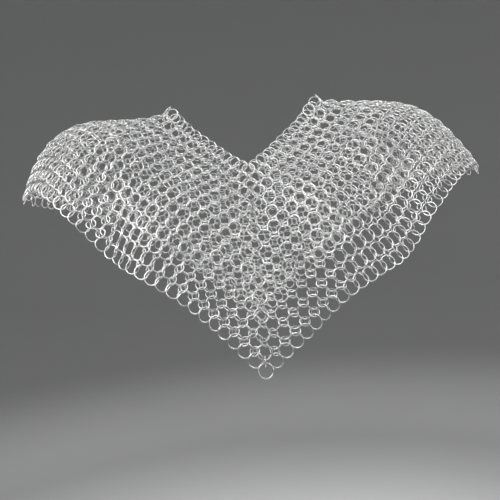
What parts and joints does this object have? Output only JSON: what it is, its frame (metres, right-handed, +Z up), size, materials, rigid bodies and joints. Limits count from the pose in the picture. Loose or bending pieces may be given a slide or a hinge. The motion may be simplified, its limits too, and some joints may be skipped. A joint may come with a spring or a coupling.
{
  "type": "chain mail mantle",
  "caption": "Four-cornered shoulder mantle of bright ring mail with a square neck opening, draped round a neck and over two shoulders, its points at front, back and both arms.",
  "frame": {"origin": "middle of the neck opening, at the height of its two side corners, where the wearer's neck and shoulders hold the mantle", "axes": "+Z up, -Y to the front of the wearer, +X to the wearer's left along the shoulders"},
  "size_m": [0.4556, 0.2291, 0.2472],
  "materials": {
    "mail_cloth": "zinc-bright steel wire rings, grey seen through",
    "edge_rows": "zinc-bright steel wire",
    "large_rings": "zinc-bright steel wire",
    "connector_rings": "zinc-bright steel wire"
  },
  "bodies": {
    "mantle": {"front_right_mail": "mail_cloth", "front_left_mail": "mail_cloth", "back_right_mail": "mail_cloth", "back_left_mail": "mail_cloth", "right_neck_row": "edge_rows", "left_neck_row": "edge_rows", "right_hem_row": "edge_rows", "left_hem_row": "edge_rows", "front_neck_ring": "large_rings", "front_seam_ring_01": "large_rings", "front_seam_ring_02": "large_rings", "front_seam_ring_03": "large_rings", "front_seam_ring_04": "large_rings", "front_seam_ring_05": "large_rings", "front_seam_ring_06": "large_rings", "front_seam_ring_07": "large_rings", "front_seam_ring_08": "large_rings", "front_seam_ring_09": "large_rings", "front_seam_ring_10": "large_rings", "front_seam_ring_11": "large_rings", "front_connector_01": "connector_rings", "front_connector_02": "connector_rings", "front_connector_03": "connector_rings", "front_connector_04": "connector_rings", "front_connector_05": "connector_rings", "front_connector_06": "connector_rings", "front_connector_07": "connector_rings", "front_connector_08": "connector_rings", "front_connector_09": "connector_rings", "front_connector_10": "connector_rings", "front_connector_11": "connector_rings", "front_connector_12": "connector_rings", "back_neck_ring": "large_rings", "back_seam_ring_01": "large_rings", "back_seam_ring_02": "large_rings", "back_seam_ring_03": "large_rings", "back_seam_ring_04": "large_rings", "back_seam_ring_05": "large_rings", "back_seam_ring_06": "large_rings", "back_seam_ring_07": "large_rings", "back_seam_ring_08": "large_rings", "back_seam_ring_09": "large_rings", "back_seam_ring_10": "large_rings", "back_seam_ring_11": "large_rings", "back_connector_01": "connector_rings", "back_connector_02": "connector_rings", "back_connector_03": "connector_rings", "back_connector_04": "connector_rings", "back_connector_05": "connector_rings", "back_connector_06": "connector_rings", "back_connector_07": "connector_rings", "back_connector_08": "connector_rings", "back_connector_09": "connector_rings", "back_connector_10": "connector_rings", "back_connector_11": "connector_rings", "back_connector_12": "connector_rings"},
    "front_tip": {"front_tip_ring": "large_rings"},
    "back_tip": {"back_tip_ring": "large_rings"}
  },
  "joints": [
    {"name": "front_tip_swing", "type": "hinge", "parent": "mantle", "child": "front_tip", "pos_m": [0, -0.11951, -0.23395], "axis": [-1, 0, 0], "range_deg": [0, 40]},
    {"name": "back_tip_swing", "type": "hinge", "parent": "mantle", "child": "back_tip", "pos_m": [0, 0.0981, -0.22214], "axis": [1, 0, 0], "range_deg": [0, 40]}
  ]
}
